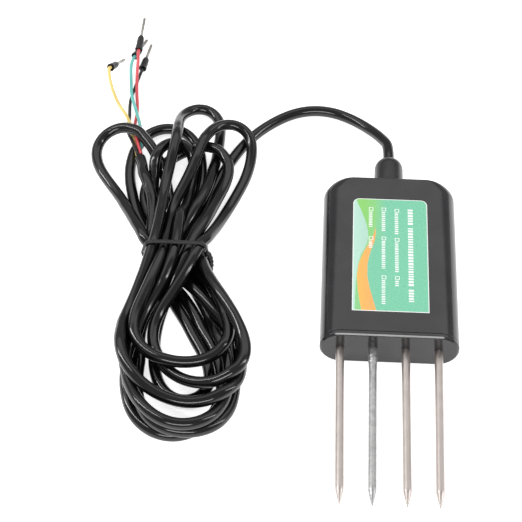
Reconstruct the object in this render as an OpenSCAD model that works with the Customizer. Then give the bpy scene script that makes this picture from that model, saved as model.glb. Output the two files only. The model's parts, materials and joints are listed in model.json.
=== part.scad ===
// Soil sensor: a potted housing with four probes at one end and a four-core cable at the other.
// It lies on its back. +Y runs from the probes to the cable, +X to the right, +Z out of the label.
// The origin is under the middle of the sensor, gland and probes included, on the surface it lies on.

/* [Housing] */
// Width of the housing
housing_w = 45; // [42:0.5:50]
// Thickness of the housing
housing_t = 15; // [15:0.5:18]
// Length of the housing with its end cap
housing_l = 68; // [66:1:80]
// Wall thickness of the shell
wall = 1.8; // [1.5:0.1:2.2]
// Radius of the rounded long sides
side_r = 7; // [5:0.5:7]
// Radius of the two corners beside the gland, seen from the front
corner_r = 5.5; // [5:0.5:10]
// Radius of the edge along the gland end
edge_r = 1; // [1:0.5:3]
// Thickness of the end cap's plate
cap_t = 1.8; // [1.5:0.1:2.5]
// Step round the end cap's outer edge
cap_bevel = 0.6; // [0.2:0.1:0.8]

/* [Label] */
// Width of the label
label_w = 25; // [20:0.5:28]
// Length of the label
label_l = 48; // [40:0.5:50]
// Thickness of the label, which is also the depth of its recess
label_t = 0.3; // [0.2:0.05:0.4]

/* [Probes] */
// Diameter of a steel probe
probe_d = 2.8; // [2.6:0.1:3]
// Length of a probe outside the end cap
probe_l = 58; // [50:1:70]
// Distance from probe to probe at the end cap
probe_pitch = 10.6; // [10:0.1:11]
// Angle by which the two outer probes lean inwards
probe_lean = 0.7; // [0:0.1:1]
// Length of the pointed tip
tip_l = 5.5; // [3:0.5:8]
// Diameter of the acidity probe at its root
acid_root_d = 3.1; // [2.8:0.1:3.4]

/* [Gland and cable] */
// Diameter of the gland
gland_d = 10.2; // [9.2:0.2:11]
// Length of the gland outside the housing
gland_l = 14; // [12:1:18]
// Diameter of the cable's sheath
cable_d = 3.9; // [3.5:0.1:4]
// Diameter of one insulated core
core_d = 1.2; // [1:0.1:1.2]
// Height of the tied hank
hank_h = 15.5; // [14:0.5:17]

/* [Hidden] */
$fn = 64;

// Places along the sensor, with the origin halfway between the probe tips and the gland's end.
y_tip = -(probe_l + housing_l + gland_l) / 2;
y_cap = y_tip + probe_l;
y_shell = y_cap + cap_t;
y_end = y_cap + housing_l;
y_exit = y_end + gland_l;
z_mid = housing_t / 2;

// The cap has a lip that fits inside the shell.
lip_l = 1.5;
fit_gap = 0.05;
hole_gap = 0.02;
end_wall = 2.2;
y_cavity = y_end - end_wall;
label_y = (y_shell + y_end) / 2 - 1.05;
label_corner_r = 2.2;

// The four probes, from left to right. Each has a stem inside the housing, and stands in a small
// recess in the cap. The acidity probe is thicker at its root.
probe_x = [for (i = [0:3]) (i - 1.5) * probe_pitch];
lean = [probe_lean, 0, 0, -probe_lean];
probe_r = probe_d / 2;
acid_waist_r = 1.3;
point_r = 0.15;
probe_inside = 10;
stem_r = 1.1;
recess_t = 0.4;
recess_gap = 0.45;
acid_r = 1.35;
acid_root_r = acid_root_d / 2;

// The gland's inner end passes through the shell and is held by a collar inside it.
gland_r = gland_d / 2;
gland_neck_r = 3.4;
gland_collar_r = 4.6;
gland_collar_l = 1.6;
gland_dome_l = 3.8;
gland_body_r = gland_r - 0.15;
gland_foot_l = 1.2;
cable_r = cable_d / 2;
core_r = core_d / 2;

// The circuit board lies under the probes, with a film of solder between.
board_size = [36, 51, 1.2];
board_y = 18.5;
solder_film = 0.15;
board_top = z_mid - probe_r - solder_film;
lead_t = 0.2;

// Body sizes of the components, and where their middles stand on the board.
mcu_size = [7, 7, 1.4];
mcu_at = [0, 14];
so8_size = [4.9, 3.9, 1.5];
transceiver_at = [-9, 30];
amplifier_at = [-9, 5];
switch_size = [9.9, 3.9, 1.5];
switch_at = [6, 4];
regulator_size = [6.5, 3.5, 1.6];
regulator_at = [9, 26];
crystal_size = [11, 4.6, 3.5];
crystal_at = [10.5, 15];
inductor_size = [4.5, 4, 3];
inductor_at = [10, 33];
capacitor_d = 6.3;
capacitor_h = 5.4;
capacitor_at = [2.5, 27];
capacitor_base = [6.6, 6.6, 1];
diode_size = [4.3, 2.6, 2.2];
diode_at = [3, 35];
chip_size = [1.6, 0.8, 0.5];
chip_columns = [-15.5, -12.5, -6.5];
chip_rows = [for (k = [0:6]) 10 + 2.4 * k];

// The cable's cores are soldered to a row of pads at the board's far end.
pad_x = [-4.5, -1.5, 1.5, 4.5];
pad_y = 41;
sheath_y = 49;
bundle = 0.65;
core_start = [[-bundle, bundle], [bundle, bundle], [bundle, -bundle], [-bundle, -bundle]];
solder_r = 1;
saddle_t = 0.6;
saddle_l = 4;
saddle_y = probe_inside - 2.5;
resin_gap = 0.1;

// Core colours, in the order of the wires' nodes.
yellow = [0.95, 0.82, 0.25];
red = [0.8, 0.12, 0.15];
green = [0.25, 0.68, 0.6];
black = [0.07, 0.07, 0.08];
core_colours = [yellow, red, green, black];

// Route of the cable from the gland down to the surface and round to the hank.
lead_route = [
    [0, y_exit, z_mid], [0, y_exit + 3, z_mid], [-0.2, y_exit + 6.5, 7.2], [-1, y_exit + 10.5, 6.6],
    [-3.2, y_exit + 14.8, 5.6], [-7, y_exit + 19, 4.4], [-12, y_exit + 22.8, 3.2],
    [-18, 95.8, 2.4], [-24, 97.2, 2], [-30, 96.9, cable_r], [-35.5, 94.6, cable_r],
    [-40, 91.4, cable_r], [-44.5, 87.5, cable_r], [-47.5, 84.5, cable_r]
];

// The sheath ends inside the hank, and the four cores run out from it under one turn.
sheath_end = [-88.5, 70.9, 5.2];
end_side = [0.949, 0.316, 0];
end_out = [-0.316, 0.949, 0];
end_up = [0, 0, 1];
straight_l = 1.5;

// Where each core leaves the sheath, the points that it passes, and where its ferrule begins.
core_from = [
    sheath_end - bundle * end_side - bundle * end_up,
    sheath_end + bundle * end_side + bundle * end_up,
    sheath_end + bundle * end_side - bundle * end_up,
    sheath_end - bundle * end_side + bundle * end_up
];
core_past = [
    [[-91, 78, 4], [-92, 82, 3.5], [-93, 86.5, 3], [-95.5, 93, 2.5], [-98, 97, 2.5], [-100, 100.5, 3.5], [-102.5, 106.5, 6]],
    [[-90, 78, 5.5], [-91, 83, 4], [-92, 89, 1.5], [-92, 98, 0.7], [-93, 106.5, 1], [-93.5, 113.5, 3], [-93.5, 119.5, 5.5]],
    [[-88.5, 78, 4.5], [-89, 82.5, 4], [-90, 88, 3], [-92, 95, 2.5], [-94.5, 103.5, 2.5], [-95.5, 111, 2.5], [-96, 118, 4]],
    [[-92, 78.5, 5], [-93.5, 82.5, 3.5], [-94.5, 87, 2], [-94.5, 93, 0.7], [-95, 102, 0.7], [-94, 109, 0.7], [-93, 114, 1]]
];
ferrule_at = [[-103, 112.5, 7.5], [-93.5, 123, 7], [-95, 122, 4.5], [-92, 118.5, 1.5]];

// Each ferrule's turn from +Y towards -X, and its pitch above the surface, in degrees.
ferrule_turn = [-17.5, -5, -14, -9];
ferrule_pitch = [-29.5, 15, -16, -3];
collar_l = 6;
collar_r = 1.35;
collar_tip_r = 0.85;
collar_taper_l = 1.4;
pin_l = 8;
pin_r = 0.6;
pin_inside = 0.8;
pin_stem_r = 0.4;

// Outline of the hank seen from above, anticlockwise from the right of its waist to the left, and back.
hank_far = [
    [-51, 50], [-45, 70], [-45, 82], [-52, 89], [-59, 92], [-64, 101], [-72, 101], [-78, 92],
    [-90, 88], [-103, 86], [-107, 80], [-107, 70], [-100, 55], [-88, 32]
];
hank_near = [
    [-90, 8], [-92, -8], [-89, -26], [-83, -41], [-75, -48], [-60, -48], [-50, -42], [-43, -25],
    [-43, -13], [-50, 8]
];
hank_round = 1.5;

// The hollow under the hank's far turns that the sheath end and the cores come out of.
passage_outline = [[-90.6, 70.2], [-86.4, 71.6], [-86.6, 92], [-97, 92]];
passage_h = 7;

// The tie goes round the waist, under it as well as over it.
tie_y = 25;
tie_w = 1.2;
tie_t = 0.8;
waist_x = -72;
waist_w = 22;
waist_h = 14.2;
waist_right = waist_x + (waist_w + tie_t) / 2;
waist_left = waist_x - (waist_w + tie_t) / 2;
hank_outline = concat(
    [[waist_right, tie_y + 2]], hank_far, [[waist_left, tie_y + 2], [waist_left, tie_y - 2]],
    hank_near, [[waist_right, tie_y - 2]]
);
tail_at = [-60.4, tie_y + 0.3, 6];
tail_l = 8;

// Directions and rings for a tube swept along a route.
function unit(v) = v / norm(v);
function last(route) = len(route) - 1;
function ferrule_dir(i) = [
    -sin(ferrule_turn[i]) * cos(ferrule_pitch[i]),
    cos(ferrule_turn[i]) * cos(ferrule_pitch[i]),
    sin(ferrule_pitch[i])
];
function wire_route(i) = concat(
    [core_from[i], core_from[i] + straight_l * end_out],
    core_past[i],
    [ferrule_at[i] - straight_l * ferrule_dir(i), ferrule_at[i]]
);
function heading(route, i) = unit(route[min(i + 1, last(route))] - route[max(i - 1, 0)]);
function sideways(d) = unit([d.y, -d.x, 0]);
function ring(route, i, r, n) =
    let (d = heading(route, i), s = sideways(d), u = cross(s, d))
    [for (k = [0:n - 1]) route[i] + r * (cos(360 * k / n) * s + sin(360 * k / n) * u)];
function ring_sides(rings, n) =
    [for (i = [0:rings - 2], k = [0:n - 1])
        let (a = i * n + k, b = i * n + (k + 1) % n) [a, b, b + n, a + n]];

// A tube along a route, with flat ends square to it.
module tube(route, r, n = 8) {
    rings = len(route);
    points = [for (i = [0:rings - 1]) each ring(route, i, r, n)];
    near_end = [for (k = [n - 1:-1:0]) k];
    far_end = [for (k = [0:n - 1]) (rings - 1) * n + k];
    polyhedron(points, concat([near_end], ring_sides(rings, n), [far_end]), convexity = 6);
}

// A rectangle with exact round corners.
module rounded_rect(w, h, r) {
    square([w - 2 * r, h], center = true);
    square([w, h - 2 * r], center = true);
    for (x = [-1, 1], y = [-1, 1])
        translate([x * (w / 2 - r), y * (h / 2 - r)]) circle(r);
}

// A rectangle from y0 to y1 whose two far corners are round.
module far_rounded(w, y0, y1, r) {
    translate([-w / 2, y0]) square([w, y1 - y0 - r]);
    translate([-w / 2 + r, y0]) square([w - 2 * r, y1 - y0]);
    for (x = [-1, 1])
        translate([x * (w / 2 - r), y1 - r]) circle(r);
}

// The housing's cross-section, drawn smaller by inset all round, and swept from y0 to y1.
module section(inset, y0, y1) {
    translate([0, y1, z_mid])
        rotate([90, 0, 0])
            linear_extrude(y1 - y0)
                rounded_rect(housing_w - 2 * inset, housing_t - 2 * inset, side_r - inset);
}

// The rounded box of the housing, drawn smaller by inset, from y0 to y1.
module housing_form(inset, y0, y1) {
    intersection() {
        section(inset, y0, y1);
        linear_extrude(housing_t) far_rounded(housing_w - 2 * inset, y0, y1, corner_r - inset);
        translate([-housing_w / 2, 0, z_mid])
            rotate([0, 90, 0])
                linear_extrude(housing_w) far_rounded(housing_t - 2 * inset, y0, y1, edge_r);
    }
}

module cavity_form() {
    housing_form(wall, y_shell - 1, y_cavity);
}

module label_form(t) {
    translate([0, label_y, housing_t - t])
        linear_extrude(t + 1) far_rounded(label_w, -label_l / 2, label_l / 2, label_corner_r);
}

module housing_shell() {
    color([0.09, 0.09, 0.1])
        difference() {
            housing_form(0, y_shell, y_end);
            cavity_form();
            label_form(label_t);
            translate([0, y_end + 1, z_mid]) rotate([90, 0, 0]) cylinder(r = gland_neck_r + hole_gap, h = end_wall + 2);
        }
}

module end_cap() {
    color([0.1, 0.1, 0.11])
        difference() {
            union() {
                section(cap_bevel, y_cap, y_shell);
                section(0, y_cap + cap_bevel, y_shell);
                section(wall + fit_gap, y_shell, y_shell + lip_l);
            }
            for (i = [0:3])
                probe_axis(i) {
                    translate([0, 0, -probe_inside]) cylinder(r = hole_r(i), h = probe_inside + 1);
                    translate([0, 0, -recess_t]) cylinder(r = root_r(i) + recess_gap, h = recess_t + 1);
                }
        }
}

module label_sticker() {
    color([0.5, 0.8, 0.65])
        intersection() {
            label_form(label_t);
            translate([-housing_w / 2, y_cap, 0]) cube([housing_w, housing_l, housing_t]);
        }
}

// A frame whose +Z runs along a probe from the end cap's face to its tip.
module probe_axis(i) {
    translate([probe_x[i], y_cap, z_mid]) rotate([0, 0, lean[i]]) rotate([90, 0, 0]) children();
}

function root_r(i) = i == 1 ? acid_root_r : probe_r;
function hole_r(i) = (i == 1 ? acid_root_r : stem_r) + hole_gap;

module steel_probe(i) {
    color([0.78, 0.75, 0.73])
        probe_axis(i) {
            translate([0, 0, -probe_inside]) cylinder(r = stem_r, h = probe_inside + 1);
            cylinder(r = probe_r, h = probe_l - tip_l);
            translate([0, 0, probe_l - tip_l]) cylinder(r1 = probe_r, r2 = point_r, h = tip_l);
        }
}

// The acidity probe's outline: a thick root, a slight waist, a straight shank and a point.
acid_outline = [
    [0, -probe_inside], [stem_r, -probe_inside], [stem_r, -cap_t - lip_l], [acid_root_r, -cap_t - lip_l],
    [acid_root_r, 3.5], [acid_waist_r, 8], [acid_r, 13], [acid_r, probe_l - tip_l], [point_r, probe_l],
    [0, probe_l]
];

module probe_acidity() {
    color([0.62, 0.63, 0.64]) probe_axis(1) rotate_extrude() polygon(acid_outline);
}

// The gland's outline from its inner collar to its domed mouth.
module gland_outline() {
    dome_y = gland_l - gland_dome_l;
    difference() {
        union() {
            translate([0, -end_wall - gland_collar_l]) square([gland_collar_r, gland_collar_l]);
            translate([0, -end_wall]) square([gland_neck_r, end_wall]);
            square([gland_r, gland_foot_l]);
            square([gland_body_r, dome_y]);
            translate([0, dome_y]) intersection() {
                circle(gland_body_r);
                square([gland_body_r, gland_dome_l]);
            }
        }
        translate([-1, -end_wall - gland_collar_l - 1]) square([1 + cable_r, gland_l + 10]);
    }
}

module cable_gland() {
    color([0.1, 0.1, 0.11])
        translate([0, y_end, z_mid]) rotate([-90, 0, 0]) rotate_extrude() gland_outline();
}

// A block on the board, grown all round where the resin is cut back from it.
module block(at, size, grow = 0) {
    translate([at.x - size.x / 2 - grow, at.y - size.y / 2 - grow, board_top])
        cube([size.x + 2 * grow, size.y + 2 * grow, size.z + grow]);
}

// Rows of leads along the two long edges of a chip.
module leads(at, size, count, pitch) {
    for (k = [0:count - 1], s = [-1, 1])
        translate([at.x + (k - (count - 1) / 2) * pitch - lead_t, at.y + s * (size.y / 2 + 0.5) - 0.6, board_top])
            cube([2 * lead_t, 1.2, lead_t]);
}

module chip(at, size, count, pitch) {
    color([0.12, 0.12, 0.13])
        union() {
            block(at, size);
            leads(at, size, count, pitch);
        }
}

module circuit_board() {
    color([0.05, 0.35, 0.18])
        translate([-board_size.x / 2, board_y - board_size.y / 2, board_top - board_size.z])
            cube(board_size);
}

module microcontroller() {
    color([0.12, 0.12, 0.13])
        union() {
            block(mcu_at, mcu_size);
            leads(mcu_at, mcu_size, 12, 0.5);
            translate([mcu_at.x, mcu_at.y, 0])
                rotate(90)
                    leads([0, 0], mcu_size, 12, 0.5);
        }
}

module bus_transceiver() {
    chip(transceiver_at, so8_size, 4, 1.27);
}

module amplifier() {
    chip(amplifier_at, so8_size, 4, 1.27);
}

module analogue_switch() {
    chip(switch_at, switch_size, 8, 1.27);
}

module voltage_regulator() {
    chip(regulator_at, regulator_size, 3, 2.3);
}

module crystal() {
    color([0.75, 0.75, 0.76])
        translate([crystal_at.x, crystal_at.y, board_top])
            linear_extrude(crystal_size.z) rounded_rect(crystal_size.x, crystal_size.y, 2.2);
}

module power_inductor() {
    color([0.2, 0.2, 0.22])
        translate([inductor_at.x, inductor_at.y, board_top]) {
            cylinder(r = inductor_size.y / 2, h = inductor_size.z);
            translate([-inductor_size.x / 2, -0.8, 0]) cube([inductor_size.x, 1.6, 0.5]);
        }
}

module bulk_capacitor() {
    color([0.7, 0.7, 0.72])
        union() {
            block(capacitor_at, capacitor_base);
            translate([capacitor_at.x, capacitor_at.y, board_top]) cylinder(d = capacitor_d, h = capacitor_h);
        }
}

module surge_diode() {
    color([0.12, 0.12, 0.13])
        union() {
            block(diode_at, diode_size);
            block(diode_at, [5.4, 1.4, 0.4]);
        }
}

module chip_components() {
    color([0.6, 0.5, 0.38])
        for (x = chip_columns, y = chip_rows)
            block([x, y], chip_size);
}

// A saddle of solder over each probe where it lies on the board.
module probe_solder() {
    color([0.8, 0.8, 0.82])
        for (i = [0:3])
            difference() {
                intersection() {
                    probe_axis(i)
                        translate([0, 0, -probe_inside + 0.5]) cylinder(r = stem_r + saddle_t, h = saddle_l);
                    block([probe_x[i], y_cap + saddle_y], [5, 6, probe_d + solder_film + saddle_t]);
                }
                probe_axis(i) translate([0, 0, -probe_inside - 1]) cylinder(r = stem_r, h = probe_inside);
            }
}

// A straight stretch of core from the sheath's inner end to its pad.
module inner_core_rod(i, r) {
    start = [core_start[i].x, sheath_y, z_mid + core_start[i].y];
    stop = [pad_x[i], pad_y, board_top + core_r + 0.1];
    reach = stop - start;
    flat = norm([reach.x, reach.y]);
    translate(start)
        rotate([0, 90 - atan2(reach.z, flat), atan2(reach.y, reach.x)])
            cylinder(r = r, h = norm(reach));
}

module inner_core(i) {
    color(core_colours[i]) inner_core_rod(i, core_r);
}

module core_solder() {
    color([0.8, 0.8, 0.82])
        for (i = [0:3])
            difference() {
                intersection() {
                    translate([pad_x[i], pad_y - 0.6, board_top]) sphere(solder_r);
                    block([pad_x[i], pad_y], [3, 4, 2]);
                }
                inner_core_rod(i, core_r);
            }
}

module inner_sheath() {
    color([0.08, 0.08, 0.09])
        translate([0, sheath_y, z_mid]) rotate([-90, 0, 0]) cylinder(r = cable_r, h = y_exit - sheath_y);
}

// Everything that the resin flows round, grown by a hair so that the solids stay apart.
module buried() {
    g = resin_gap;
    translate([0, 0, board_top - board_size.z - g])
        linear_extrude(board_size.z + 2 * g)
            translate([0, board_y]) square([board_size.x + 2 * g, board_size.y + 2 * g], center = true);
    block(mcu_at, [9.4, 9.4, 1.4], g);
    block(transceiver_at, [4.9, 6.1, 1.5], g);
    block(amplifier_at, [4.9, 6.1, 1.5], g);
    block(switch_at, [9.9, 6.1, 1.5], g);
    block(regulator_at, [6.5, 5.7, 1.6], g);
    block(crystal_at, crystal_size, g);
    block(inductor_at, inductor_size, g);
    block(capacitor_at, [6.6, 6.6, capacitor_h], g);
    block(diode_at, [5.4, 2.6, 2.2], g);
    for (x = chip_columns)
        block([x, (chip_rows[0] + chip_rows[6]) / 2], [1.6, chip_rows[6] - chip_rows[0] + 0.8, 0.5], g);
    for (i = [0:3]) {
        block([probe_x[i], y_cap + saddle_y], [4.5, 5, probe_d + solder_film + saddle_t], g);
        probe_axis(i) translate([0, 0, -probe_inside - g]) cylinder(r = stem_r + g, h = probe_inside);
        translate([0, 0, -g]) block([pad_x[i], pad_y], [2.4, 3.6, 1.6], 2 * g);
        inner_core_rod(i, core_r + g);
    }
    translate([0, sheath_y - g, z_mid]) rotate([-90, 0, 0]) cylinder(r = cable_r + g, h = 10);
    translate([0, y_cavity - gland_collar_l - g, z_mid])
        rotate([-90, 0, 0]) cylinder(r = gland_collar_r + g, h = gland_collar_l + 1);
}

module potting_resin() {
    color([0.05, 0.05, 0.06])
        difference() {
            housing_form(wall + resin_gap, y_shell + lip_l + resin_gap, y_cavity - resin_gap);
            buried();
        }
}

module cable_lead() {
    color([0.07, 0.07, 0.08]) tube(lead_route, cable_r);
}

// The tie's outline round the waist, in the plane across the hank.
module tie_ring(grow) {
    w = waist_w + 2 * tie_t;
    h = waist_h + tie_t;
    translate([waist_x, tie_y + tie_w / 2, h / 2])
        rotate([90, 0, 0])
            linear_extrude(tie_w)
                difference() {
                    rounded_rect(w + grow, h + grow, 3);
                    rounded_rect(waist_w, waist_h - tie_t, 2.4);
                }
}

module cable_hank() {
    color([0.07, 0.07, 0.08])
        difference() {
            linear_extrude(hank_h) offset(r = hank_round) offset(delta = -hank_round) polygon(hank_outline);
            tie_ring(4);
            translate([0, 0, -1]) linear_extrude(passage_h + 1) polygon(passage_outline);
        }
}

module hank_tie() {
    color([0.1, 0.1, 0.11])
        union() {
            tie_ring(0);
            translate(tail_at)
                rotate([0, 90, -50])
                    cylinder(r = 0.7, h = tail_l);
        }
}

module wire(i) {
    color(core_colours[i]) tube(wire_route(i), core_r);
}

// A frame whose +Z runs along a ferrule from the wire's end to the pin's tip.
module ferrule_axis(i) {
    translate(ferrule_at[i])
        rotate([0, 0, ferrule_turn[i]])
            rotate([ferrule_pitch[i] - 90, 0, 0])
                children();
}

module ferrule_collar(i) {
    color([0.1, 0.1, 0.11])
        ferrule_axis(i)
            difference() {
                union() {
                    cylinder(r1 = collar_r, r2 = collar_r - 0.15, h = collar_l - collar_taper_l);
                    translate([0, 0, collar_l - collar_taper_l])
                        cylinder(r1 = collar_r - 0.15, r2 = collar_tip_r, h = collar_taper_l);
                }
                translate([0, 0, collar_l - pin_inside]) cylinder(r = pin_stem_r + hole_gap, h = pin_inside + 1);
            }
}

module ferrule_pin(i) {
    color([0.8, 0.8, 0.8])
        ferrule_axis(i)
            translate([0, 0, collar_l]) {
                translate([0, 0, -pin_inside]) cylinder(r = pin_stem_r, h = pin_inside + 1);
                cylinder(r = pin_r, h = pin_l);
            }
}

housing_shell();
end_cap();
label_sticker();
cable_gland();
potting_resin();
steel_probe(0);  // probe_outer_left
probe_acidity();
steel_probe(2);  // probe_inner_right
steel_probe(3);  // probe_outer_right
circuit_board();
microcontroller();
bus_transceiver();
voltage_regulator();
amplifier();
analogue_switch();
crystal();
power_inductor();
bulk_capacitor();
surge_diode();
chip_components();
probe_solder();
core_solder();
inner_core(0);  // inner_core_yellow
inner_core(1);  // inner_core_red
inner_core(2);  // inner_core_green
inner_core(3);  // inner_core_black
inner_sheath();
cable_lead();
cable_hank();
hank_tie();
wire(0);  // wire_yellow
wire(1);  // wire_red
wire(2);  // wire_green
wire(3);  // wire_black
ferrule_collar(0);  // ferrule_collar_yellow
ferrule_collar(1);  // ferrule_collar_red
ferrule_collar(2);  // ferrule_collar_green
ferrule_collar(3);  // ferrule_collar_black
ferrule_pin(0);  // ferrule_pin_yellow
ferrule_pin(1);  // ferrule_pin_red
ferrule_pin(2);  // ferrule_pin_green
ferrule_pin(3);  // ferrule_pin_black
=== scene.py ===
"""Looks for the soil sensor: its cable and cores, its moulded and turned parts, the label and the studio.

Lengths below are in millimetres unless a name says otherwise, and are scaled to metres when a piece is made.
"""

import json
import math

import bpy
import numpy as np
from mathutils import Matrix, Vector


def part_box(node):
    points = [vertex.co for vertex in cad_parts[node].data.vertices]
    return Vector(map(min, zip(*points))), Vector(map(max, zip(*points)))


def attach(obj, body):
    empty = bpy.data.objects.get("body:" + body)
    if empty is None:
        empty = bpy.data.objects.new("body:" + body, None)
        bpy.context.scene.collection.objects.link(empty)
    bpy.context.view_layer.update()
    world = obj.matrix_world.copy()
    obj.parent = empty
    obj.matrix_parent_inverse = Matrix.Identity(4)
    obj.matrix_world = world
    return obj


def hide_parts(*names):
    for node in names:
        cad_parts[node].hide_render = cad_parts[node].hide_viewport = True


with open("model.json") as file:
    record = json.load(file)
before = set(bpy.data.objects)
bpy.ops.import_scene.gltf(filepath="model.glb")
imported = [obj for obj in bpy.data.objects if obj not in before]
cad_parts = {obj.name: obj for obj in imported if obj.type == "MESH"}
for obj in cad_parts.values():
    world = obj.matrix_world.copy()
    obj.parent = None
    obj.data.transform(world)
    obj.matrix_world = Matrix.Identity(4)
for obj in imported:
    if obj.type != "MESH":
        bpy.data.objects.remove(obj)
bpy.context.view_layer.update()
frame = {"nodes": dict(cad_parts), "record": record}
NODES = frame["nodes"]
MM = 0.001

# ---------------------------------------------------------------- camera


EYE = np.array([-28.38, -322.17, 433.31])
AZIMUTH, ELEVATION, ROLL = 2.416, 50.964, 0.296
FOCAL_LENGTH, SENSOR_WIDTH = 112.57, 36


def add_camera():
    az, el, roll = math.radians(AZIMUTH), math.radians(ELEVATION), math.radians(ROLL)
    back = Vector((math.sin(az) * math.cos(el), -math.cos(az) * math.cos(el), math.sin(el)))
    right = Vector((math.cos(az), math.sin(az), 0))
    up = back.cross(right)
    c, s = math.cos(roll), math.sin(roll)
    turned_right, turned_up = c * right + s * up, c * up - s * right
    data = bpy.data.cameras.new("camera")
    data.lens = FOCAL_LENGTH
    data.sensor_width = SENSOR_WIDTH
    data.clip_end = 10
    camera = bpy.data.objects.new("camera", data)
    rotation = Matrix((turned_right, turned_up, back)).transposed().to_4x4()
    camera.matrix_world = Matrix.Translation(Vector(EYE) * MM) @ rotation
    bpy.context.scene.collection.objects.link(camera)
    bpy.context.scene.camera = camera


add_camera()

# ---------------------------------------------------------------- cable


CABLE_D = 3.9
CABLE_R = CABLE_D / 2
CORE_D = 1.2
BUNDLE = 0.65  # from the sheath's middle line to a core's, both sideways and up
Y_EXIT = 70.0
LEAD = [
    (0, 70, 7.5), (0, 73, 7.5), (-0.2, 76.5, 7.2), (-1, 80.5, 6.6), (-3.2, 84.8, 5.6), (-7, 89, 4.4),
    (-12, 92.8, 3.2), (-18, 95.8, 2.4), (-24, 97.2, 2), (-30, 96.9, 1.95), (-35.5, 94.6, 1.95),
    (-40, 91.4, 1.95), (-44.5, 87.5, 1.95), (-47.5, 84.5, 1.95),
]
LEVEL = 1.25  # one level of the tables below
LOWEST = CABLE_R + 0.2  # the height of level 0
PLAN_HEIGHT = 4  # the tables' x and y are for a strand at this height
TIE_Y = 25.0
# In the tie, the middles of the strands stay between these sides and below this top.
TIE_SIDES, TIE_TOP, TIE_REACH = (-80.75, -63.25), 10.85, 3
PLAN_STEP, CABLE_STEP, CORE_STEP = 1.5, 0.9, 0.7  # between the vertices of each path
# Where each strand goes through the tie: x, z.
SLOTS = {
    "AL": (-79.2, 8.6), "BL": (-75.8, 10.0), "GR": (-72.4, 9.4), "CR": (-69.0, 10.2), "BR": (-65.2, 9.0),
    "EL": (-80.7, 5.0), "AR": (-76.2, 6.0), "lead": (-71.0, 6.0), "DR": (-63.4, 5.2),
    "tail": (-79.6, 2.0), "DL": (-75.6, 2.0), "CL": (-71.6, 2.0), "GL": (-67.6, 2.0), "ER": (-63.6, 2.0),
}
# Each turn of the hank from its left side to its right: x, y, level.
# Letters are far turns, numbers near ones.
TURNS = {
    "6": [(-79, 8, 2), (-81.5, -6, 2), (-81.5, -20, 2), (-79, -34, 2), (-73, -42, 2), (-64, -44, 2),
          (-55, -41, 2), (-50, -33, 2), (-50, -22, 2), (-54, -6, 1), (-62, 10, 1)],
    "D": [(-80, 34, 0), (-86, 46, 0), (-91, 60, 0), (-91, 70, 0), (-89, 79, 0), (-82, 86, 0), (-74, 85, 0),
          (-69, 78, 0), (-66, 66, 0), (-66, 58, 0), (-66, 46, 0), (-65, 34, 2)],
    "1": [(-80, 11, 10), (-84, 0, 10), (-83, -8, 10), (-77, -15, 10), (-68, -17, 10), (-61, -17, 10),
          (-54, -12, 10), (-52, -4, 9), (-55, 5, 8), (-60, 14, 5)],
    "B": [(-75, 37, 10), (-73, 52, 10), (-69, 68, 10), (-65, 83, 10), (-58, 91, 10), (-51, 88, 10),
          (-49, 78, 10), (-50, 64, 10), (-54, 52, 10), (-60, 38, 10)],
    "2": [(-71, 12, 10), (-76, 1, 9), (-77, -8, 9), (-74, -17, 9), (-68, -23, 9), (-60, -25, 9),
          (-51, -23, 9), (-46, -15, 9), (-48, -5, 9), (-53, 6, 8), (-59, 16, 6)],
    "E": [(-86, 38, 4), (-94, 53, 4), (-102, 65, 3), (-104.5, 76, 2), (-101.5, 83.5, 3), (-95, 86.5, 4),
          (-88, 80.5, 4), (-81, 69, 4), (-77, 56, 4), (-75, 46, 3), (-70, 35, 2)],
    "3": [(-83.5, 10, 9), (-87, -2, 8), (-87, -12, 8), (-83.5, -21, 8), (-75, -29, 8), (-64, -33, 8),
          (-55, -31, 8), (-49, -24, 8), (-48, -14, 6), (-52, 1, 4), (-60, 14, 2)],
    "A": [(-79.5, 37, 8), (-79, 50, 8), (-78, 62, 8), (-76.5, 78, 8), (-75, 91, 8), (-72, 97.5, 8),
          (-67, 99.5, 7), (-62.5, 96, 6), (-60.8, 89, 4), (-61, 80, 3), (-61, 70, 3), (-64, 56, 3),
          (-69, 40, 4)],
    "4": [(-80.5, 10, 6), (-84.2, -6, 5), (-84.8, -18, 5), (-80.5, -31, 5), (-73, -39, 5), (-65, -42, 5),
          (-57, -39, 5), (-52, -31, 5), (-51, -20, 5), (-56, -4, 3), (-65, 12, 1)],
    "C": [(-78, 36, 1), (-85, 50, 1), (-84, 60, 1), (-79, 69, 1), (-72, 74, 2), (-66, 78, 3),
          (-61, 77.5, 5), (-57, 71, 6), (-56, 66, 6), (-59, 55, 7), (-64, 40, 8)],
    "4a": [(-73, 10, 7), (-76, -5, 5), (-75, -18, 4), (-73, -27, 4), (-66, -34, 4), (-58.5, -31, 4),
           (-57, -21, 4), (-62, -8, 2), (-72, 10, 0)],
    "G": [(-76, 36, 4), (-82, 50, 6), (-83, 62, 6), (-82, 74, 6), (-80, 80.5, 6), (-75.5, 83.5, 6),
          (-71, 81, 6), (-69, 75, 6), (-69, 66, 6), (-70, 52, 6), (-72, 38, 7)],
    "5": [(-78, 10, 4), (-82.5, -6, 2), (-83.5, -20, 1), (-82, -33, 0), (-77, -42, 0), (-69, -46, 0),
          (-60, -44, 0), (-54, -36, 0), (-53, -24, 0), (-60, -6, 0), (-72, 12, 0)],
}
# The order in which the cable runs through slots and turns. A minus sign runs a turn from right to left.
ORDER = (
    "lead 6 DL D DR -2 BR -B BL 1 ER -E EL -4a CR -C CL -4 AR -A AL 3 GL G GR 5 tail"
).split()
LEAD_IN = [(-51, 79.8, 4), (-53.9, 74.3, 4), (-57, 68, 4), (-60, 61, 4), (-63, 52, 4), (-66, 40, 4)]
TAIL = [(-80, 36, 1), (-81, 44, 2), (-82.5, 54, 3), (-85.5, 63, 3)]
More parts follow.
